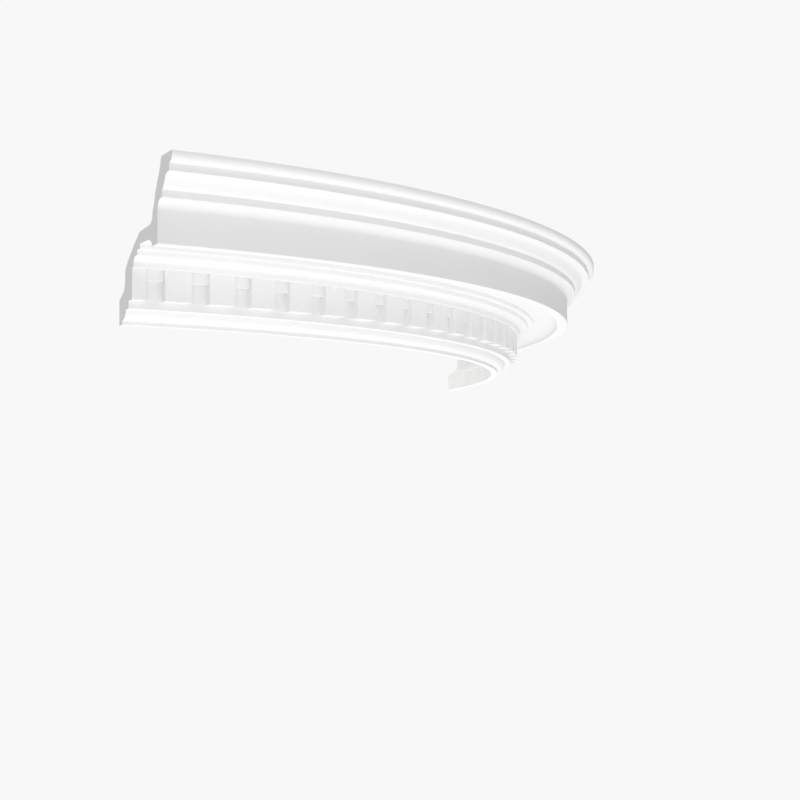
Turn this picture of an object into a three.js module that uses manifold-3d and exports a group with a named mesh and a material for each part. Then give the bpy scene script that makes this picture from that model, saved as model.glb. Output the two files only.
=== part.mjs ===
// Dentil cornice moulding, one curved length of cast polyurethane with a hollow back.
// Millimetres, +Z up, with the flat top at z = 0.
// The moulding is even about its middle, where its front faces -Y.
// Every outline is drawn by drop below the top and by reach out from the foot of the back.

import * as THREE from 'three';
import { mergeVertices } from 'three/addons/utils/BufferGeometryUtils.js';
import Module from 'manifold-3d';

// The curved run, by the radius of the foot of the back
const backRadius = 1000;
const dentilPitchDegrees = 3.25;
const dentilCount = 25;
const runSteps = 45; // odd, so that a flat facet stands at mid-length
const curveSteps = 4;

// Crown, the convex nosing at the top
const crownReach = 183;
const crownNosing = 2;
const crownBottom = 12.5;
const crownFoot = 174.5;
const upperFilletReach = 173.5;
const upperFilletBottom = 22;

// Double curve and second fillet
const cymaTopReach = 168;
const cymaHollowReach = 159.5;
const cymaSwellReach = 156.5;
const secondFilletReach = 150;
const secondFilletTop = 38.5;
const secondFilletBottom = 47.5;

// Corona, the plain upright band, with its drip groove behind
const coveReach = 147.5;
const coronaReach = 135.5;
const coronaTop = 59;
const coronaBottom = 98.5;
const dripLipReach = 117.5;
const dripCoveReach = 101;
const dripRoof = 89;
const dripInnerReach = 75.5;

// Bed mould under the corona
const bedTop = 95;
const bedFilletReach = 65.5;
const bedFilletBottom = 101;
const bedCoveTopReach = 61.5;
const bedCoveBottom = 108.5;
const quirkReach = 52;

// Dentils, each gap between them cut in two depths
const dentilTop = 113.5;
const dentilBottom = 151.5;
const dentilReach = 47;
const gapWidth = 24;
const gapLedge = 127;
const upperGapReach = 41.5;
const lowerGapReach = 35.5;

// Base mould and toe
const baseFilletReach = 34.5;
const baseFilletBottom = 161;
const baseRoundTopReach = 24.5;
const baseRoundBottom = 173;
const baseRoundFootReach = 11.5;
const toeReach = 10.5;
const moulding = { drop: 178, topLand: 35.5, backLand: 31 };

// Hollow back, a shell 14 to 30 thick, from the top land down to the back land
const hollowBack = [
  { drop: 13.5, reach: 142.5 },
  { drop: 25.5, reach: 135 },
  { drop: 42, reach: 126 },
  { drop: 51, reach: 123.5 },
  { drop: 59, reach: 118.5 },
  { drop: 67, reach: 117 },
  { drop: 72, reach: 111.5 },
  { drop: 74.5, reach: 74 },
  { drop: 86, reach: 55 },
  { drop: 101, reach: 34 },
  { drop: 113.5, reach: 21.5 },
  { drop: 132, reach: 20.5 },
  { drop: 139, reach: 16 },
];

// The share of a quarter curve's side at which its Bezier handles stand
const roundHandle = 0.5523;

const runDegrees = dentilPitchDegrees * dentilCount;
const halfRun = THREE.MathUtils.degToRad(runDegrees / 2);
const topLandCentre = crownReach - moulding.topLand / 2;

// The axis of the curve, with the origin at the middle of the top land
const curveAxis = new THREE.Vector3(0, backRadius + topLandCentre, 0);

// The back's arc at the height of the top, run from right to left so that the reach points out
class BackArc extends THREE.Curve {
  getPoint(t, target = new THREE.Vector3()) {
    const angle = halfRun * (1 - 2 * t);
    target.set(Math.sin(angle), -Math.cos(angle), 0);
    return target.multiplyScalar(backRadius).add(curveAxis);
  }

  getTangent(t, target = new THREE.Vector3()) {
    const angle = halfRun * (1 - 2 * t);
    return target.set(-Math.cos(angle), -Math.sin(angle), 0);
  }
}

// A quarter curve from where the outline stands, leaving it upright
function roundFromUpright(outline, drop, reach) {
  const start = outline.currentPoint;
  outline.bezierCurveTo(
    start.x + roundHandle * (drop - start.x),
    start.y,
    drop,
    reach + roundHandle * (start.y - reach),
    drop,
    reach,
  );
}

// A quarter curve from where the outline stands, leaving it level
function roundFromLevel(outline, drop, reach) {
  const start = outline.currentPoint;
  outline.bezierCurveTo(
    start.x,
    start.y + roundHandle * (reach - start.y),
    drop + roundHandle * (start.x - drop),
    reach,
    drop,
    reach,
  );
}

function drawCrown(outline) {
  outline.moveTo(0, crownReach);
  outline.lineTo(crownNosing, crownReach);
  roundFromUpright(outline, crownBottom, crownFoot);
  outline.lineTo(crownBottom, upperFilletReach);
  outline.lineTo(upperFilletBottom, upperFilletReach);
}

function drawCyma(outline) {
  outline.lineTo(upperFilletBottom, cymaTopReach);
  outline.bezierCurveTo(
    upperFilletBottom,
    cymaHollowReach,
    secondFilletTop,
    cymaSwellReach,
    secondFilletTop,
    secondFilletReach,
  );
  outline.lineTo(secondFilletBottom, secondFilletReach);
}

function drawCorona(outline) {
  outline.lineTo(secondFilletBottom, coveReach);
  roundFromLevel(outline, coronaTop, coronaReach);
  outline.lineTo(coronaBottom, coronaReach);
  outline.lineTo(coronaBottom, dripLipReach);
  roundFromUpright(outline, dripRoof, dripCoveReach);
  outline.lineTo(dripRoof, dripInnerReach);
  outline.lineTo(bedTop, dripInnerReach);
}

function drawBedMould(outline) {
  outline.lineTo(bedTop, bedFilletReach);
  outline.lineTo(bedFilletBottom, bedFilletReach);
  outline.lineTo(bedFilletBottom, bedCoveTopReach);
  roundFromLevel(outline, bedCoveBottom, quirkReach);
  outline.lineTo(dentilTop, quirkReach);
}

function drawDentilBand(outline) {
  outline.lineTo(dentilTop, dentilReach);
  outline.lineTo(dentilBottom, dentilReach);
}

function drawBase(outline) {
  outline.lineTo(dentilBottom, baseFilletReach);
  outline.lineTo(baseFilletBottom, baseFilletReach);
  outline.lineTo(baseFilletBottom, baseRoundTopReach);
  roundFromUpright(outline, baseRoundBottom, baseRoundFootReach);
  outline.lineTo(baseRoundBottom, toeReach);
  outline.lineTo(moulding.drop, toeReach);
  outline.lineTo(moulding.drop, 0);
}

function drawBack(outline) {
  outline.lineTo(moulding.drop - moulding.backLand, 0);
  for (const corner of hollowBack.toReversed()) {
    outline.lineTo(corner.drop, corner.reach);
  }
  outline.lineTo(0, crownReach - moulding.topLand);
  outline.lineTo(0, crownReach);
}

function mouldingSection() {
  const outline = new THREE.Shape();
  drawCrown(outline);
  drawCyma(outline);
  drawCorona(outline);
  drawBedMould(outline);
  drawDentilBand(outline);
  drawBase(outline);
  drawBack(outline);
  return outline;
}

function sweptMoulding() {
  return new THREE.ExtrudeGeometry(mouldingSection(), {
    steps: runSteps,
    curveSegments: curveSteps,
    extrudePath: new BackArc(),
    bevelEnabled: false,
  });
}

// What one gap takes away: shallow above the ledge, deep below it, and open in front and beneath
function gapCutter(angle) {
  const openReach = quirkReach + gapWidth;
  const openDrop = (dentilBottom + baseFilletBottom) / 2;
  const stepped = new THREE.Shape();
  stepped.moveTo(dentilTop, openReach);
  stepped.lineTo(dentilTop, upperGapReach);
  stepped.lineTo(gapLedge, upperGapReach);
  stepped.lineTo(gapLedge, lowerGapReach);
  stepped.lineTo(openDrop, lowerGapReach);
  stepped.lineTo(openDrop, openReach);
  stepped.closePath();
  const cutter = new THREE.ExtrudeGeometry(stepped, { depth: gapWidth, bevelEnabled: false });
  const downward = new THREE.Vector3(0, 0, -1);
  const outward = new THREE.Vector3(0, -1, 0);
  const along = new THREE.Vector3(-1, 0, 0);
  cutter.translate(0, 0, -gapWidth / 2);
  cutter.applyMatrix4(new THREE.Matrix4().makeBasis(downward, outward, along));
  cutter.translate(0, -backRadius, 0);
  cutter.rotateZ(angle);
  cutter.translate(curveAxis.x, curveAxis.y, curveAxis.z);
  return cutter;
}

const wasm = await Module();
wasm.setup();

function toSolid(geometry) {
  const bare = geometry.clone();
  bare.deleteAttribute('normal');
  bare.deleteAttribute('uv');
  const merged = mergeVertices(bare);
  return new wasm.Manifold(
    new wasm.Mesh({
      numProp: 3,
      vertProperties: merged.attributes.position.array,
      triVerts: Uint32Array.from(merged.index.array),
    }),
  );
}

function toGeometry(solid) {
  const mesh = solid.getMesh();
  const geometry = new THREE.BufferGeometry();
  geometry.setAttribute('position', new THREE.BufferAttribute(mesh.vertProperties, 3));
  geometry.setIndex(new THREE.BufferAttribute(mesh.triVerts, 1));
  geometry.computeVertexNormals();
  return geometry;
}

function carvedMoulding() {
  let solid = toSolid(sweptMoulding());
  const pitch = THREE.MathUtils.degToRad(dentilPitchDegrees);
  for (let gap = 0; gap < dentilCount; gap += 1) {
    const angle = (gap + 0.5) * pitch - halfRun;
    solid = solid.subtract(toSolid(gapCutter(angle)));
  }
  return toGeometry(solid);
}

const whitePolyurethane = new THREE.MeshStandardMaterial({
  color: 0xf1f1ef,
  roughness: 0.6,
  metalness: 0,
});

const corniceMoulding = new THREE.Mesh(carvedMoulding(), whitePolyurethane);
corniceMoulding.name = 'cornice_moulding';

const cornice = new THREE.Group();
cornice.add(corniceMoulding);

export default cornice;
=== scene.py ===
"""Dentil cornice moulding: one curved length of cast cornice, dressed for its picture.

Metres, +Z up, with the flat top at z = 0. The moulding is even about its middle, where its
front faces -Y. Every outline is drawn by drop below the top and by reach out from the foot
of the back.
"""

import math

import bmesh
import bpy
from bpy.props import FloatProperty, FloatVectorProperty, IntProperty, PointerProperty
from mathutils import Matrix, Vector


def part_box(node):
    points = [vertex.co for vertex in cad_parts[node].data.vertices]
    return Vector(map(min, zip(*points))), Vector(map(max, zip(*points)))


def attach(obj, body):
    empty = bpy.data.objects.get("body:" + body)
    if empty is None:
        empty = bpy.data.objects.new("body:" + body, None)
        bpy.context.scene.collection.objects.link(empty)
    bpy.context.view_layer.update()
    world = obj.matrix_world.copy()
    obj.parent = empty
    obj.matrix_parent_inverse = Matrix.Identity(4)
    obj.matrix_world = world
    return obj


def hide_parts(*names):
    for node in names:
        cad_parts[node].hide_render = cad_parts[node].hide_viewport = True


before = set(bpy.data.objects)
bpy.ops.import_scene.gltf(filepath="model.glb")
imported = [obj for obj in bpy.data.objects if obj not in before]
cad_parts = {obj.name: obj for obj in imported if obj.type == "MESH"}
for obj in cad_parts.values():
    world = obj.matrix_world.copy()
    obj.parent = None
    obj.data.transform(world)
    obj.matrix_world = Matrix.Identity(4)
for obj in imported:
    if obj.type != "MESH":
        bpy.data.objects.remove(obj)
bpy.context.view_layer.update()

bl_info = {
    "name": "Dentil cornice moulding",
    "version": (1, 0, 0),
    "blender": (4, 5, 0),
    "location": "View3D > Sidebar > Cornice",
    "description": "A curved length of dentil cornice with its studio",
    "category": "Add Mesh",
}

# The moulding's box at rest, whose height is the whole drop
MOULDING_LOW, MOULDING_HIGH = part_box("cornice_moulding")

# How far off a picked place may be, in metres and in radians
TINY = 0.00002
TINY_TURN = 0.0001

# Facets in each rounded edge, and round the floor
EDGE_FACETS = 3
FLOOR_SIDES = 96

# A back face looks more inward or upward than this, and a cut end has more corners
INWARD = -0.9
UPWARD = 0.02
END_CORNERS = 40

# The stretch of each noise that runs from one look to the other
GRAIN_SPAN = (0.3, 0.7)
PATCH_SPAN = (0.35, 0.65)
PIT_SPAN = (0.52, 0.60)

# The hollow back from the top land down to the back land, as (drop, reach)
HOLLOW_BACK = (
    (0.0135, 0.1425),
    (0.0255, 0.1350),
    (0.0420, 0.1260),
    (0.0510, 0.1235),
    (0.0590, 0.1185),
    (0.0670, 0.1170),
    (0.0720, 0.1115),
    (0.0745, 0.0740),
    (0.0860, 0.0550),
    (0.1010, 0.0340),
    (0.1135, 0.0215),
    (0.1320, 0.0205),
    (0.1390, 0.0160),
)


def length(name, default, description):
    return FloatProperty(name=name, description=description, default=default, min=0.0,
                         precision=4, unit="LENGTH")


def degrees(name, default, description):
    return FloatProperty(name=name, description=description, default=math.radians(default),
                         precision=3, unit="ROTATION")


def share(name, default, description):
    return FloatProperty(name=name, description=description, default=default, min=0.0,
                         max=1.0, subtype="FACTOR")


def power(name, default, description):
    return FloatProperty(name=name, description=description, default=default, min=0.0,
                         unit="POWER")


def place(name, default, description):
    return FloatVectorProperty(name=name, description=description, default=default, size=3,
                               precision=3, subtype="TRANSLATION", unit="LENGTH")


def colour(name, default, description):
    return FloatVectorProperty(name=name, description=description, default=default, min=0.0,
                               max=1.0, size=3, subtype="COLOR")


class CorniceSection(bpy.types.PropertyGroup):
    """The section's sizes.

    A reach is out from the foot of the back, and most of the others are drops below the top.
    """

    crown_reach: length("Crown reach", 0.183, "Outermost edge, at the top")
    crown_nosing: length("Crown nosing", 0.002, "Upright edge above the crown's round")
    crown_bottom: length("Crown bottom", 0.0125, "Foot of the crown's round")
    crown_foot: length("Crown foot reach", 0.1745, "Reach at the foot of the crown's round")
    upper_fillet_reach: length("Upper fillet reach", 0.1735, "Face of the upper fillet")
    upper_fillet_bottom: length("Upper fillet bottom", 0.022, "Lower edge of the upper fillet")
    cyma_top_reach: length("Cyma top reach", 0.168, "Where the double curve starts")
    cyma_hollow_reach: length("Cyma hollow reach", 0.1595, "Pull of the double curve's hollow")
    cyma_swell_reach: length("Cyma swell reach", 0.1565, "Pull of the double curve's swell")
    second_fillet_reach: length("Second fillet reach", 0.150, "Face of the second fillet")
    second_fillet_top: length("Second fillet top", 0.0385, "Upper edge of the second fillet")
    second_fillet_bottom: length("Second fillet bottom", 0.0475, "Lower edge of the second fillet")
    cove_reach: length("Cove reach", 0.1475, "Outer edge of the cove above the corona")
    corona_reach: length("Corona reach", 0.1355, "Face of the corona, the plain upright band")
    corona_top: length("Corona top", 0.059, "Where the cove runs into the corona")
    corona_bottom: length("Corona bottom", 0.0985, "Lower edge of the corona")
    drip_lip_reach: length("Drip lip reach", 0.1175, "Inner edge of the corona's lip")
    drip_cove_reach: length("Drip cove reach", 0.101, "Where the drip groove's roof turns flat")
    drip_roof: length("Drip roof", 0.089, "Roof of the drip groove")
    drip_inner_reach: length("Drip inner reach", 0.0755, "Inner side of the drip groove")
    bed_top: length("Bed mould top", 0.095, "Underside between drip groove and bed fillet")
    bed_fillet_reach: length("Bed fillet reach", 0.0655, "Face of the bed fillet")
    bed_fillet_bottom: length("Bed fillet bottom", 0.101, "Lower edge of the bed fillet")
    bed_cove_top_reach: length("Bed cove reach", 0.0615, "Outer edge of the bed cove")
    bed_cove_bottom: length("Bed cove bottom", 0.1085, "Where the bed cove runs into the quirk")
    quirk_reach: length("Quirk reach", 0.052, "Face of the narrow band over the dentils")
    dentil_top: length("Dentil top", 0.1135, "Where the dentils start")
    dentil_bottom: length("Dentil bottom", 0.1515, "Underside of the dentils")
    dentil_reach: length("Dentil reach", 0.047, "Face of the dentils")
    gap_ledge: length("Gap ledge", 0.127, "Ledge where each gap goes deeper")
    upper_gap_reach: length("Upper gap reach", 0.0415, "Floor of a gap above its ledge")
    lower_gap_reach: length("Lower gap reach", 0.0355, "Floor of a gap below its ledge")
    base_fillet_reach: length("Base fillet reach", 0.0345, "Face of the base fillet")
    base_fillet_bottom: length("Base fillet bottom", 0.161, "Lower edge of the base fillet")
    base_round_top_reach: length("Base round reach", 0.0245, "Top of the base round")
    base_round_bottom: length("Base round bottom", 0.173, "Foot of the base round")
    base_round_foot_reach: length("Base round foot", 0.0115, "Reach at the base round's foot")
    toe_reach: length("Toe reach", 0.0105, "Face of the toe at the bottom")
    drop: length("Drop", MOULDING_HIGH.z - MOULDING_LOW.z, "Whole height of the section")
    top_land: length("Top land", 0.0355, "Width of the flat strip on top")
    back_land: length("Back land", 0.031, "Height of the upright strip at the back")
    arris: length("Arris", 0.0008, "Roundness of the edges that stand out")
    inner_fillet: length("Inner fillet", 0.0004, "Roundness of the corners that turn in")
    back_softness: length("Back softness", 0.0034, "Roundness of the hollow back's bends")


class CorniceRun(bpy.types.PropertyGroup):
    """The sweep of the section round the axis of the curve."""

    back_radius: length("Back radius", 1.0, "Radius of the curve at the foot of the back")
    pitch: degrees("Dentil pitch", 3.25, "Angle from one dentil to the next")
    count: IntProperty(name="Dentil count", description="How many pitches the length has",
                       default=25, min=1)
    gap_width: length("Gap width", 0.024, "Width of a gap at the dentils' face")
    gap_steps: IntProperty(name="Gap steps", description="Facets across one gap",
                           default=3, min=1)
    side_steps: IntProperty(name="Dentil steps", description="Facets across half a dentil",
                            default=2, min=1)
    curve_steps: IntProperty(name="Curve steps", description="Facets in each round of the section",
                             default=9, min=2)
    dentil_arris: length("Dentil arris", 0.0003, "Roundness of the dentils' side edges")
    ledge_arris: length("Ledge arris", 0.0014, "Roundness of the ledge in each gap")


class CorniceFinish(bpy.types.PropertyGroup):
    """Colours and surface of the cast foam and its coat."""

    primer: colour("Primer", (0.81, 0.81, 0.81), "Matt white coat of the front")
    skin: colour("Cast skin", (0.80, 0.795, 0.78), "Uncoated foam of the hollow back")
    sawn: colour("Sawn foam", (0.75, 0.75, 0.745), "Cut ends of the length")
    grain_size: length("Grain size", 0.0016, "Width of the primer's fine grain")
    grain_height: length("Grain height", 0.00003, "Height of the primer's fine grain")
    cell_size: length("Cell size", 0.0011, "Width of the foam's cells on the cut ends")
    mottle_size: length("Mottle size", 0.09, "Width of the soft patches in the coat")


class CorniceStudio(bpy.types.PropertyGroup):
    """Camera, floor and lights."""

    camera_distance: length("Camera distance", 2.6857, "From the axis of the curve, level")
    camera_height: FloatProperty(name="Camera height", description="Above the moulding's top",
                                 default=-0.373, unit="LENGTH")
    camera_bearing: degrees("Camera bearing", -52.074, "Where it stands round the axis")
    camera_turn: degrees("Camera turn", 18.087, "How far right of the axis it looks")
    camera_pitch: degrees("Camera pitch", 3.452, "How far up it looks")
    camera_roll: degrees("Camera roll", -0.490, "How far it leans")
    camera_lens: FloatProperty(name="Lens", description="Focal length in millimetres",
                               default=62.53, min=1.0)
    floor_drop: length("Floor drop", 3.2, "How far the floor lies below the top")
    floor_radius: length("Floor radius", 60.0, "How far the floor reaches")
    floor_colour: colour("Floor", (0.875, 0.875, 0.875), "Pale floor")
    backdrop: colour("Backdrop", (0.937, 0.937, 0.937), "Pale space behind the moulding")
    ambient: share("Ambient light", 0.376, "Strength of the even light from all sides")
    front_place: place("Front soft box", (-3.2, -1.1, -0.6), "In front, on the left")
    front_side: length("Front side", 1.8, "Side of the front soft box")
    front_power: power("Front power", 19.6, "Power of the front soft box")
    below_place: place("Lower soft box", (-0.5, -0.3, -2.7), "Below the moulding")
    below_side: length("Lower side", 3.0, "Side of the lower soft box")
    below_power: power("Lower power", 29.2, "Power of the lower soft box")
    back_place: place("Back soft box", (0.25, 0.8, -0.35), "Behind the moulding")
    back_aim: place("Back aim", (0.62, 0.42, -0.16), "The right end of the moulding")
    back_side: length("Back side", 0.5, "Side of the back soft box")
    back_power: power("Back power", 1.6, "Power of the back soft box")
    top_strength: power("Light from above", 2.172, "Watts on each square metre from above")
    top_angle: degrees("Light from above, spread", 20.0, "How soft its shadows are")


def section_sizes():
    return bpy.context.scene.cornice_section


def run_sizes():
    return bpy.context.scene.cornice_run


def finish_settings():
    return bpy.context.scene.cornice_finish


def studio_settings():
    return bpy.context.scene.cornice_studio


def curve_axis():
    """The axis of the curve, with the origin at the middle of the top land."""
    section = section_sizes()
    land_centre = section.crown_reach - section.top_land / 2
    return Vector((0.0, run_sizes().back_radius + land_centre, 0.0))


def on_section(angle, drop, reach):
    """The place at that angle round the axis, that drop below the top and that reach."""
    radius = run_sizes().back_radius + reach
    offset = Vector((radius * math.sin(angle), -radius * math.cos(angle), -drop))
    return curve_axis() + offset


def read_back(point):
    """The angle round the axis, the drop and the reach of a place."""
    arm = point - curve_axis()
    angle = math.atan2(arm.x, -arm.y)
    return angle, -point.z, math.hypot(arm.x, arm.y) - run_sizes().back_radius


def deselect_objects():
    if bpy.context.mode != "OBJECT":
        bpy.ops.object.mode_set(mode="OBJECT")
    bpy.ops.object.select_all(action="DESELECT")


def edited():
    return bmesh.from_edit_mesh(bpy.context.edit_object.data)


def middle(element):
    if isinstance(element, bmesh.types.BMVert):
        return element.co
    if isinstance(element, bmesh.types.BMEdge):
        return (element.verts[0].co + element.verts[1].co) / 2
    return element.calc_center_median()


def pick(kind, test):
    """Selects the vertices, edges or faces that pass the test, which gets each one and its
    middle's angle, drop and reach."""
    bpy.ops.mesh.select_mode(type=kind)
    bpy.ops.mesh.select_all(action="DESELECT")
    shape = edited()
    found = False
    for element in {"VERT": shape.verts, "EDGE": shape.edges, "FACE": shape.faces}[kind]:
        if test(element, *read_back(middle(element))):
            element.select_set(True)
            found = True
    bmesh.update_edit_mesh(bpy.context.edit_object.data)
    if not found:
        raise RuntimeError("nothing to pick for this step of the cornice")


def near(a, b, within=TINY):
    return abs(a - b) < within


def merge_doubles():
    bpy.ops.mesh.select_all(action="SELECT")
    bpy.ops.mesh.remove_doubles(threshold=TINY)


def face_outwards():
    bpy.ops.mesh.select_all(action="SELECT")
    bpy.ops.mesh.normals_make_consistent(inside=False)


class SectionPen:
    """Draws the section with the extrude operator in one upright plane through the axis."""

    def __init__(self, angle, drop, reach):
        self.angle = angle
        self.drop = drop
        self.reach = reach
        self.corners = {}
        self.steps = run_sizes().curve_steps
        deselect_objects()
        # A small plane, merged to the one vertex where the outline starts
        bpy.ops.mesh.primitive_plane_add(size=0.01, location=on_section(angle, drop, reach))
        bpy.ops.object.transform_apply(location=True, rotation=True, scale=True)
        bpy.ops.object.mode_set(mode="EDIT")
        bpy.ops.mesh.merge(type="CENTER")

    def line(self, drop, reach, roundness=0.0):
        """A straight edge to that drop and reach, where the corner gets that roundness."""
        stride = on_section(self.angle, drop, reach)
        stride -= on_section(self.angle, self.drop, self.reach)
        bpy.ops.mesh.extrude_region_move(TRANSFORM_OT_translate={"value": stride})
        self.drop = drop
        self.reach = reach
        if roundness > 0:
            self.corners.setdefault(roundness, []).append((drop, reach))

    def round_from_upright(self, drop, reach):
        """A quarter round that leaves upright and arrives level."""
        start_drop, start_reach = self.drop, self.reach
        for step in range(1, self.steps + 1):
            turn = math.pi / 2 * step / self.steps
            self.line(start_drop + (drop - start_drop) * math.sin(turn),
                      reach + (start_reach - reach) * math.cos(turn))

    def round_from_level(self, drop, reach):
        """A quarter round that leaves level and arrives upright."""
        start_drop, start_reach = self.drop, self.reach
        for step in range(1, self.steps + 1):
            turn = math.pi / 2 * step / self.steps
            self.line(drop + (start_drop - drop) * math.cos(turn),
                      start_reach + (reach - start_reach) * math.sin(turn))

    def double_curve(self, drop, hollow_reach, swell_reach, reach):
        """A double curve that leaves and arrives level, with those two pulls."""
        start_drop, start_reach = self.drop, self.reach
        steps = self.steps + self.steps // 2
        for step in range(1, steps + 1):
            t = step / steps
            leaving = (1 - t) ** 3
            hollow = 3 * (1 - t) ** 2 * t
            swell = 3 * (1 - t) * t ** 2
            arriving = t ** 3
            self.line(start_drop * (leaving + hollow) + drop * (swell + arriving),
                      start_reach * leaving + hollow * hollow_reach
                      + swell * swell_reach + reach * arriving)

    def close(self):
        """Joins the two ends of the outline and rounds its corners."""
        merge_doubles()
        for roundness, places in self.corners.items():
            def is_corner(vertex, angle, drop, reach):
                return any(near(drop, d) and near(reach, r) for d, r in places)
            pick("VERT", is_corner)
            bpy.ops.mesh.bevel(affect="VERTICES", offset=roundness, segments=EDGE_FACETS,
                               clamp_overlap=False)


def draw_crown(pen, s):
    pen.line(s.crown_nosing, s.crown_reach)
    pen.round_from_upright(s.crown_bottom, s.crown_foot)
    pen.line(s.crown_bottom, s.upper_fillet_reach, s.inner_fillet)
    pen.line(s.upper_fillet_bottom, s.upper_fillet_reach, s.arris)


def draw_cyma(pen, s):
    pen.line(s.upper_fillet_bottom, s.cyma_top_reach)
    pen.double_curve(s.second_fillet_top, s.cyma_hollow_reach, s.cyma_swell_reach,
                     s.second_fillet_reach)
    pen.corners.setdefault(s.inner_fillet, []).append((pen.drop, pen.reach))
    pen.line(s.second_fillet_bottom, s.second_fillet_reach, s.arris)


def draw_corona(pen, s):
    pen.line(s.second_fillet_bottom, s.cove_reach)
    pen.round_from_level(s.corona_top, s.corona_reach)
    pen.line(s.corona_bottom, s.corona_reach, s.arris)
    pen.line(s.corona_bottom, s.drip_lip_reach, s.arris)
    pen.round_from_upright(s.drip_roof, s.drip_cove_reach)
    pen.line(s.drip_roof, s.drip_inner_reach, s.inner_fillet)
    pen.line(s.bed_top, s.drip_inner_reach, s.arris)


def draw_bed_mould(pen, s):
    pen.line(s.bed_top, s.bed_fillet_reach, s.inner_fillet)
    pen.line(s.bed_fillet_bottom, s.bed_fillet_reach, s.arris)
    pen.line(s.bed_fillet_bottom, s.bed_cove_top_reach)
    pen.round_from_level(s.bed_cove_bottom, s.quirk_reach)
    pen.line(s.dentil_top, s.quirk_reach, s.arris)


def draw_dentil_band(pen, s):
    pen.line(s.dentil_top, s.dentil_reach)
    pen.line(s.gap_ledge, s.dentil_reach)
    pen.line(s.dentil_bottom, s.dentil_reach, s.arris)
    pen.line(s.dentil_bottom, s.lower_gap_reach)


def draw_base(pen, s):
    pen.line(s.dentil_bottom, s.base_fillet_reach, s.inner_fillet)
    pen.line(s.base_fillet_bottom, s.base_fillet_reach, s.arris)
    pen.line(s.base_fillet_bottom, s.base_round_top_reach, s.inner_fillet)
    pen.round_from_upright(s.base_round_bottom, s.base_round_foot_reach)
    pen.line(s.base_round_bottom, s.toe_reach, s.inner_fillet)
    pen.line(s.drop, s.toe_reach, s.arris)
    pen.line(s.drop, 0.0, s.arris)


def draw_back(pen, s):
    pen.line(s.drop - s.back_land, 0.0, s.arris)
    for drop, reach in reversed(HOLLOW_BACK):
        pen.line(drop, reach, s.back_softness)
    pen.line(0.0, s.crown_reach - s.top_land, s.arris)
    pen.line(0.0, s.crown_reach, s.arris)


def draw_section(angle):
    """The whole outline, closed, in the upright plane at that angle."""
    s = section_sizes()
    pen = SectionPen(angle, 0.0, s.crown_reach)
    draw_crown(pen, s)
    draw_cyma(pen, s)
    draw_corona(pen, s)
    draw_bed_mould(pen, s)
    draw_dentil_band(pen, s)
    draw_base(pen, s)
    draw_back(pen, s)
    pen.close()


def spin(angle, steps, copies=False):
    """Turns what is selected round the axis, to the right."""
    bpy.ops.mesh.spin(steps=steps, dupli=copies, angle=angle, center=curve_axis(),
                      axis=(0.0, 0.0, -1.0))


def gap_half_angle():
    section, run = section_sizes(), run_sizes()
    return math.asin(run.gap_width / 2 / (run.back_radius + section.dentil_reach))


def run_half_angle():
    run = run_sizes()
    return run.pitch * run.count / 2


def spin_pitch():
    """One pitch of moulding: half a dentil, a gap and half a dentil."""
    run = run_sizes()
    side = run.pitch / 2 - gap_half_angle()
    bpy.ops.mesh.select_all(action="SELECT")
    spin(side, run.side_steps)
    spin(2 * gap_half_angle(), run.gap_steps)
    spin(side, run.side_steps)
    merge_doubles()


def push_in(reach_from, reach_to):
    """Extrudes the picked edges towards the axis."""
    radius = run_sizes().back_radius
    scale = (radius + reach_to) / (radius + reach_from)
    bpy.ops.mesh.extrude_region_move()
    bpy.ops.transform.resize(value=(scale, scale, 1.0), center_override=curve_axis())


def push_down(fall):
    bpy.ops.mesh.extrude_region_move(TRANSFORM_OT_translate={"value": (0.0, 0.0, -fall)})


def carve_gap(centre):
    """Opens the gap in the middle of one pitch, shallow above its ledge and deep below."""
    s = section_sizes()
    half = gap_half_angle()

    def in_gap(angle):
        return abs(angle - centre) < half - TINY_TURN

    def is_front(face, angle, drop, reach):
        return (in_gap(angle) and s.dentil_top + TINY < drop < s.dentil_bottom + TINY
                and s.lower_gap_reach < reach < s.dentil_reach + TINY)

    def is_top_edge(edge, angle, drop, reach):
        return (in_gap(angle) and near(drop, s.dentil_top)
                and near(reach, s.dentil_reach) and edge.is_boundary)

    pick("FACE", is_front)
    bpy.ops.mesh.delete(type="FACE")
    pick("EDGE", is_top_edge)
    push_in(s.dentil_reach, s.upper_gap_reach)
    push_down(s.gap_ledge - s.dentil_top)
    push_in(s.upper_gap_reach, s.lower_gap_reach)
    push_down(s.dentil_bottom - s.gap_ledge)
    merge_doubles()


def close_gap_sides(centre):
    """Fills the two sides of the gap and rounds the edges that stand out."""
    s = section_sizes()
    half = gap_half_angle()
    for side in (-half, half):
        def is_side_edge(edge, angle, drop, reach):
            return (edge.is_boundary and near(angle, centre + side, TINY_TURN)
                    and s.dentil_top - TINY < drop < s.dentil_bottom + TINY
                    and s.lower_gap_reach - TINY < reach < s.dentil_reach + TINY)
        pick("EDGE", is_side_edge)
        bpy.ops.mesh.edge_face_add()
    face_outwards()

    def is_ledge_edge(edge, angle, drop, reach):
        return (abs(angle - centre) < half and near(drop, s.gap_ledge)
                and near(reach, s.upper_gap_reach))

    def is_dentil_edge(edge, angle, drop, reach):
        if not near(abs(angle - centre), half, TINY_TURN):
            return False
        face_edge = reach > (s.upper_gap_reach + s.dentil_reach) / 2 and (
            s.dentil_top + TINY < drop < s.dentil_bottom + TINY)
        foot_edge = near(drop, s.dentil_bottom) and reach > s.lower_gap_reach + TINY
        return face_edge or foot_edge

    for test, roundness in ((is_ledge_edge, run_sizes().ledge_arris),
                            (is_dentil_edge, run_sizes().dentil_arris)):
        pick("EDGE", test)
        bpy.ops.mesh.bevel(affect="EDGES", offset=roundness, segments=EDGE_FACETS,
                           clamp_overlap=False)


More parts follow.
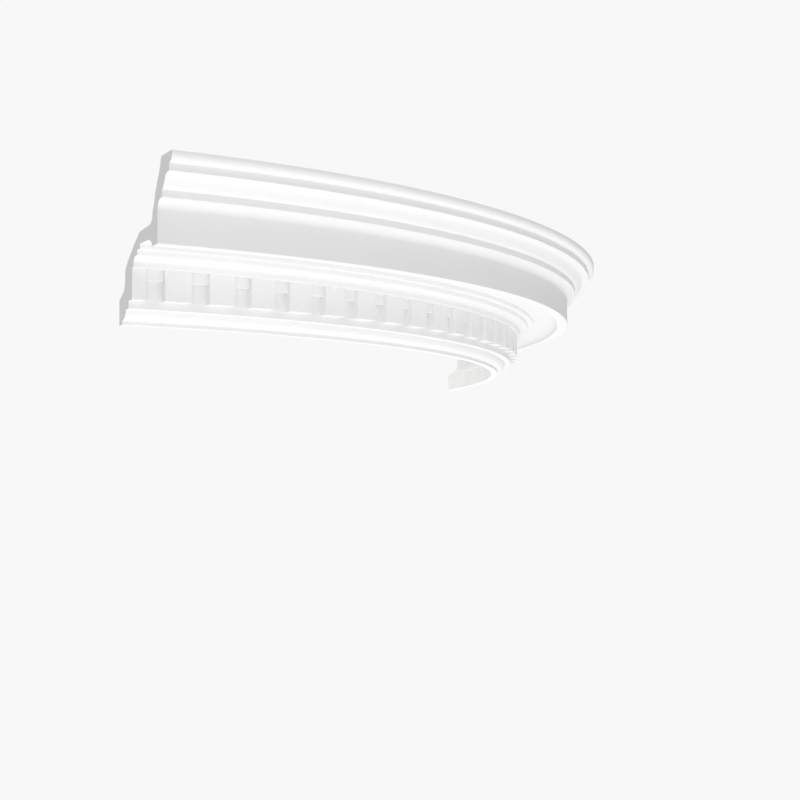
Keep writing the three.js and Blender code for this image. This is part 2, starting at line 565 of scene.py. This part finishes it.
def close_end(end_angle):
    """Fills the square cut at one end."""
    def is_rim(edge, angle, drop, reach):
        return edge.is_boundary and near(angle, end_angle, TINY_TURN)
    pick("EDGE", is_rim)
    bpy.ops.mesh.edge_face_add()


def assign(slot_index):
    bpy.context.object.active_material_index = slot_index
    bpy.ops.object.material_slot_assign()


def dress_cornice(piece):
    """Primer in front, bare cast skin behind and sawn foam at the two ends."""
    for material in (primed_face(), cast_back(), sawn_end()):
        piece.data.materials.append(material)
    bed_fillet_reach = section_sizes().bed_fillet_reach
    half_run = run_half_angle()

    def is_back(face, angle, drop, reach):
        outward = face.normal.x * math.sin(angle) - face.normal.y * math.cos(angle)
        behind = outward < INWARD and reach < bed_fillet_reach
        return face.normal.z > UPWARD or behind

    def is_end(face, angle, drop, reach):
        return len(face.verts) > END_CORNERS and abs(angle) > half_run - TINY_TURN

    pick("FACE", is_back)
    assign(1)
    pick("FACE", is_end)
    assign(2)


def finish_shading(piece):
    """Smooth rounds, crisp saw cuts, and flats that stay flat beside their rounded edges."""
    crease = math.radians(35)
    flat_weight = 80
    bpy.ops.object.mode_set(mode="OBJECT")
    bpy.ops.object.shade_smooth_by_angle(angle=crease)
    bpy.ops.object.modifier_add(type="WEIGHTED_NORMAL")
    modifier = piece.modifiers[-1]
    modifier.keep_sharp = True
    modifier.weight = flat_weight
    bpy.ops.object.modifier_apply(modifier=modifier.name)


def new_material(name):
    """A new material, with its node tree, its shader and its Object coordinates."""
    material = bpy.data.materials.new(name)
    material.use_nodes = True
    tree = material.node_tree
    shader = tree.nodes["Principled BSDF"]
    coordinates = tree.nodes.new("ShaderNodeTexCoord")
    return material, tree, shader, coordinates.outputs["Object"]


def new_group(name, inputs, outputs):
    """A shader node group with named inputs (with defaults) and named outputs."""
    group = bpy.data.node_groups.new(name, "ShaderNodeTree")
    for label, kind, default in inputs:
        socket = group.interface.new_socket(name=label, in_out="INPUT", socket_type=kind)
        if default is not None:
            socket.default_value = default
    for label, kind in outputs:
        group.interface.new_socket(name=label, in_out="OUTPUT", socket_type=kind)
    return group, group.nodes.new("NodeGroupInput"), group.nodes.new("NodeGroupOutput")


def noise(tree, vector, per_metre, detail=2.0, roughness=0.5):
    """A noise texture; per_metre is a socket or a number."""
    node = tree.nodes.new("ShaderNodeTexNoise")
    tree.links.new(vector, node.inputs["Vector"])
    if isinstance(per_metre, bpy.types.NodeSocket):
        tree.links.new(per_metre, node.inputs["Scale"])
    else:
        node.inputs["Scale"].default_value = per_metre
    node.inputs["Detail"].default_value = detail
    node.inputs["Roughness"].default_value = roughness
    return node.outputs["Fac"]


def arithmetic(tree, operation, first, second):
    node = tree.nodes.new("ShaderNodeMath")
    node.operation = operation
    for socket, value in zip(node.inputs, (first, second)):
        if isinstance(value, bpy.types.NodeSocket):
            tree.links.new(value, socket)
        else:
            socket.default_value = value
    return node.outputs[0]


def remap(tree, value, span, to_low, to_high):
    """Spreads that span of a value from to_low to to_high."""
    node = tree.nodes.new("ShaderNodeMapRange")
    tree.links.new(value, node.inputs["Value"])
    for label, number in (("From Min", span[0]), ("From Max", span[1]),
                          ("To Min", to_low), ("To Max", to_high)):
        node.inputs[label].default_value = number
    return node.outputs["Result"]


def grain_group():
    """Fine grain of a sprayed or cast surface, on broader soft patches."""
    known = bpy.data.node_groups.get("surface_grain")
    if known:
        return known
    group, inlet, outlet = new_group(
        "surface_grain",
        [("Vector", "NodeSocketVector", None),
         ("Grain per Metre", "NodeSocketFloat", 600.0),
         ("Patches per Metre", "NodeSocketFloat", 11.0)],
        [("Height", "NodeSocketFloat"), ("Patches", "NodeSocketFloat")],
    )
    vector = inlet.outputs["Vector"]
    fine = noise(group, vector, inlet.outputs["Grain per Metre"], detail=3.0, roughness=0.55)
    broad = noise(group, vector, inlet.outputs["Patches per Metre"], detail=3.0, roughness=0.6)
    group.links.new(fine, outlet.inputs["Height"])
    group.links.new(broad, outlet.inputs["Patches"])
    return group


def cells_group():
    """Cells of rigid foam: round pits with thin skins between them."""
    known = bpy.data.node_groups.get("foam_cells")
    if known:
        return known
    group, inlet, outlet = new_group(
        "foam_cells",
        [("Vector", "NodeSocketVector", None), ("Cells per Metre", "NodeSocketFloat", 900.0)],
        [("Height", "NodeSocketFloat"), ("Pits", "NodeSocketFloat")],
    )
    clusters_per_cell = 0.31
    bowl_radius = 0.55
    vector = inlet.outputs["Vector"]
    cells_per_metre = inlet.outputs["Cells per Metre"]
    cells = group.nodes.new("ShaderNodeTexVoronoi")
    cells.feature = "F1"
    group.links.new(vector, cells.inputs["Vector"])
    group.links.new(cells_per_metre, cells.inputs["Scale"])
    scatter = noise(group, vector,
                    arithmetic(group, "MULTIPLY", cells_per_metre, clusters_per_cell))
    open_cells = remap(group, scatter, PIT_SPAN, 0.0, 1.0)
    bowl = remap(group, cells.outputs["Distance"], (0.0, bowl_radius), 1.0, 0.0)
    pits = arithmetic(group, "MULTIPLY", bowl, open_cells)
    # The pits' mask, which the sawn ends also use to paint shade into the pits
    group.links.new(pits, outlet.inputs["Pits"])
    group.links.new(arithmetic(group, "SUBTRACT", 1.0, pits), outlet.inputs["Height"])
    return group


def place_group(tree, group, vector, **values):
    """Puts a node group in a material, with its own values."""
    node = tree.nodes.new("ShaderNodeGroup")
    node.node_tree = group
    tree.links.new(vector, node.inputs["Vector"])
    for label, value in values.items():
        node.inputs[label.replace("_", " ")].default_value = value
    return node


def shade_between(tree, factor, first, second, target):
    """Colour that goes from first to second with the factor."""
    node = tree.nodes.new("ShaderNodeMix")
    node.data_type = "RGBA"
    tree.links.new(factor, node.inputs["Factor"])
    node.inputs["A"].default_value = (*first, 1.0)
    node.inputs["B"].default_value = (*second, 1.0)
    tree.links.new(node.outputs["Result"], target)


def bump(tree, height, shader, distance, strength, below=None):
    """Puts a bump on the shader, over the one below."""
    node = tree.nodes.new("ShaderNodeBump")
    node.inputs["Strength"].default_value = strength
    node.inputs["Distance"].default_value = distance
    tree.links.new(height, node.inputs["Height"])
    if below is not None:
        tree.links.new(below.outputs["Normal"], node.inputs["Normal"])
    tree.links.new(node.outputs["Normal"], shader.inputs["Normal"])
    return node


def darker(tint, by):
    return tuple(channel * (1 - by) for channel in tint)


def patchy_colour(tree, grain, shader, tint, depth):
    """Colour that goes that much darker in the broad soft patches."""
    patches = remap(tree, grain.outputs["Patches"], PATCH_SPAN, 0.0, 1.0)
    shade_between(tree, patches, tint, darker(tint, by=depth), shader.inputs["Base Color"])


def grainy_roughness(tree, height, shader, smoothest, roughest):
    """Roughness that follows the grain's height."""
    rough = remap(tree, height, GRAIN_SPAN, smoothest, roughest)
    tree.links.new(rough, shader.inputs["Roughness"])


def primed_face():
    """Matt white primer, with a very fine orange-peel grain."""
    finish = finish_settings()
    material, tree, shader, vector = new_material("primed_face")
    grain = place_group(tree, grain_group(), vector, Grain_per_Metre=1 / finish.grain_size,
                        Patches_per_Metre=1 / finish.mottle_size)
    height = grain.outputs["Height"]
    patchy_colour(tree, grain, shader, finish.primer, depth=0.012)
    grainy_roughness(tree, height, shader, smoothest=0.52, roughest=0.64)
    bump(tree, height, shader, distance=finish.grain_height, strength=0.6)
    shader.inputs["IOR"].default_value = 1.46
    return material


def cast_back():
    """Bare cast skin of the hollow back: a little warmer and coarser than the primer."""
    finish = finish_settings()
    fewer_grains = 0.35
    more_patches = 2.2
    fewer_cells = 0.3
    deeper_grain = 6
    material, tree, shader, vector = new_material("cast_back")
    grain = place_group(tree, grain_group(), vector,
                        Grain_per_Metre=fewer_grains / finish.grain_size,
                        Patches_per_Metre=more_patches / finish.mottle_size)
    cells = place_group(tree, cells_group(), vector,
                        Cells_per_Metre=fewer_cells / finish.cell_size)
    height = grain.outputs["Height"]
    patchy_colour(tree, grain, shader, finish.skin, depth=0.04)
    grainy_roughness(tree, height, shader, smoothest=0.62, roughest=0.78)
    pitted = bump(tree, cells.outputs["Height"], shader, distance=0.0002, strength=0.5)
    bump(tree, height, shader, distance=finish.grain_height * deeper_grain, strength=0.6,
         below=pitted)
    return material


def sawn_end():
    """Sawn foam: open cells with painted shade in their pits, and faint marks of the saw's
    strokes.
    """
    finish = finish_settings()
    strokes_per_metre = 90.0
    level_squeeze = (1.0, 1.0, 14.0)
    material, tree, shader, vector = new_material("sawn_end")
    cells = place_group(tree, cells_group(), vector, Cells_per_Metre=1 / finish.cell_size)
    mapping = tree.nodes.new("ShaderNodeMapping")
    mapping.inputs["Scale"].default_value = level_squeeze
    tree.links.new(vector, mapping.inputs["Vector"])
    strokes = noise(tree, mapping.outputs["Vector"], strokes_per_metre)
    # Painted shade: the pits of the cells are coloured 16% darker than the sawn foam, as if shade
    # lay in them
    shade_between(tree, cells.outputs["Pits"], finish.sawn, darker(finish.sawn, by=0.16),
                  shader.inputs["Base Color"])
    grainy_roughness(tree, strokes, shader, smoothest=0.72, roughest=0.86)
    scored = bump(tree, strokes, shader, distance=0.00015, strength=0.5)
    bump(tree, cells.outputs["Height"], shader, distance=0.0003, strength=0.6, below=scored)
    return material


class CORNICE_OT_moulding(bpy.types.Operator):
    """Model the curved length of dentil cornice"""

    bl_idname = "cornice.moulding"
    bl_label = "Cornice Moulding"

    def execute(self, context):
        run = run_sizes()
        half_run = run_half_angle()
        first_gap = run.pitch / 2 - half_run
        draw_section(-half_run)
        piece = context.object
        piece.name = "cornice"
        spin_pitch()
        carve_gap(first_gap)
        close_gap_sides(first_gap)
        bpy.ops.mesh.select_mode(type="FACE")
        bpy.ops.mesh.select_all(action="SELECT")
        spin(run.pitch * (run.count - 1), run.count - 1, copies=True)
        merge_doubles()
        close_end(-half_run)
        close_end(half_run)
        face_outwards()
        dress_cornice(piece)
        finish_shading(piece)
        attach(piece, "root")
        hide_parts("cornice_moulding")
        return {"FINISHED"}


def make_floor(studio):
    deselect_objects()
    bpy.ops.mesh.primitive_circle_add(vertices=FLOOR_SIDES, radius=studio.floor_radius,
                                      fill_type="NGON", location=(0, 0, -studio.floor_drop))
    floor = bpy.context.object
    floor.name = "studio_floor"
    material, _, shader, _ = new_material("floor_paint")
    shader.inputs["Base Color"].default_value = (*studio.floor_colour, 1.0)
    shader.inputs["Roughness"].default_value = 1.0
    shader.inputs["Specular IOR Level"].default_value = 0.0
    floor.data.materials.append(material)


def make_world(studio):
    """Even light from all sides, and the pale space that the camera sees."""
    world = bpy.data.worlds.new("studio")
    bpy.context.scene.world = world
    world.use_nodes = True
    tree = world.node_tree
    light = tree.nodes["Background"]
    light.inputs["Color"].default_value = (1.0, 1.0, 1.0, 1.0)
    light.inputs["Strength"].default_value = studio.ambient
    seen = tree.nodes.new("ShaderNodeBackground")
    seen.inputs["Color"].default_value = (*studio.backdrop, 1.0)
    path = tree.nodes.new("ShaderNodeLightPath")
    mix = tree.nodes.new("ShaderNodeMixShader")
    tree.links.new(path.outputs["Is Camera Ray"], mix.inputs["Fac"])
    tree.links.new(light.outputs["Background"], mix.inputs[1])
    tree.links.new(seen.outputs["Background"], mix.inputs[2])
    tree.links.new(mix.outputs["Shader"], tree.nodes["World Output"].inputs["Surface"])


def make_soft_box(name, stand, aim, side, watts):
    """A square light that faces the aim and stays out of the picture."""
    deselect_objects()
    bpy.ops.object.light_add(type="AREA", location=stand)
    lamp = bpy.context.object
    lamp.name = name
    lamp.data.shape = "SQUARE"
    lamp.data.size = side
    lamp.data.energy = watts
    lamp.rotation_euler = (Vector(aim) - Vector(stand)).to_track_quat("-Z", "Y").to_euler()
    lamp.visible_camera = False


def make_lights(studio):
    """Soft boxes in front on the left, below and behind, and light from above that the floor
    throws back."""
    middle_of_run = (MOULDING_LOW + MOULDING_HIGH) / 2
    make_soft_box("soft_box_front", studio.front_place, middle_of_run, studio.front_side,
                  studio.front_power)
    make_soft_box("soft_box_below", studio.below_place, middle_of_run, studio.below_side,
                  studio.below_power)
    make_soft_box("soft_box_back", studio.back_place, studio.back_aim, studio.back_side,
                  studio.back_power)
    overhead = (0.0, 0.0, 2.0)
    deselect_objects()
    bpy.ops.object.light_add(type="SUN", location=overhead)
    lamp = bpy.context.object
    lamp.name = "light_from_above"
    lamp.data.energy = studio.top_strength
    lamp.data.angle = studio.top_angle


def make_camera(studio):
    deselect_objects()
    bearing = studio.camera_bearing
    heading = studio.camera_turn - bearing
    stand = curve_axis() + Vector((
        studio.camera_distance * math.sin(bearing),
        -studio.camera_distance * math.cos(bearing),
        studio.camera_height,
    ))
    bpy.ops.object.camera_add(location=stand)
    camera = bpy.context.object
    camera.name = "photo_camera"
    camera.data.lens = studio.camera_lens
    aim = Matrix.Rotation(-heading, 4, "Z")
    aim @= Matrix.Rotation(math.pi / 2 + studio.camera_pitch, 4, "X")
    aim @= Matrix.Rotation(studio.camera_roll, 4, "Z")
    camera.rotation_euler = aim.to_euler()
    bpy.context.scene.camera = camera


class CORNICE_OT_studio(bpy.types.Operator):
    """Set up the pale floor, the soft light and the camera"""

    bl_idname = "cornice.studio"
    bl_label = "Studio"

    def execute(self, context):
        studio = studio_settings()
        make_floor(studio)
        make_world(studio)
        make_lights(studio)
        make_camera(studio)
        context.scene.view_settings.view_transform = "Standard"
        return {"FINISHED"}


class CORNICE_PT_panel(bpy.types.Panel):
    """Sizes and colours of the cornice, and its operators"""

    bl_idname = "CORNICE_PT_panel"
    bl_label = "Cornice Moulding"
    bl_space_type = "VIEW_3D"
    bl_region_type = "UI"
    bl_category = "Cornice"

    def draw(self, context):
        column = self.layout.column()
        for settings in (section_sizes(), run_sizes(), finish_settings(), studio_settings()):
            for name in settings.__annotations__:
                column.prop(settings, name)
        column.operator(CORNICE_OT_moulding.bl_idname)
        column.operator(CORNICE_OT_studio.bl_idname)


CLASSES = (
    CorniceSection,
    CorniceRun,
    CorniceFinish,
    CorniceStudio,
    CORNICE_OT_moulding,
    CORNICE_OT_studio,
    CORNICE_PT_panel,
)


def register():
    for cls in CLASSES:
        bpy.utils.register_class(cls)
    scene = bpy.types.Scene
    scene.cornice_section = PointerProperty(type=CorniceSection)
    scene.cornice_run = PointerProperty(type=CorniceRun)
    scene.cornice_finish = PointerProperty(type=CorniceFinish)
    scene.cornice_studio = PointerProperty(type=CorniceStudio)


def unregister():
    scene = bpy.types.Scene
    del scene.cornice_section
    del scene.cornice_run
    del scene.cornice_finish
    del scene.cornice_studio
    for cls in reversed(CLASSES):
        bpy.utils.unregister_class(cls)


def main():
    register()
    bpy.ops.cornice.moulding()
    bpy.ops.cornice.studio()


if __name__ == "__main__":
    main()
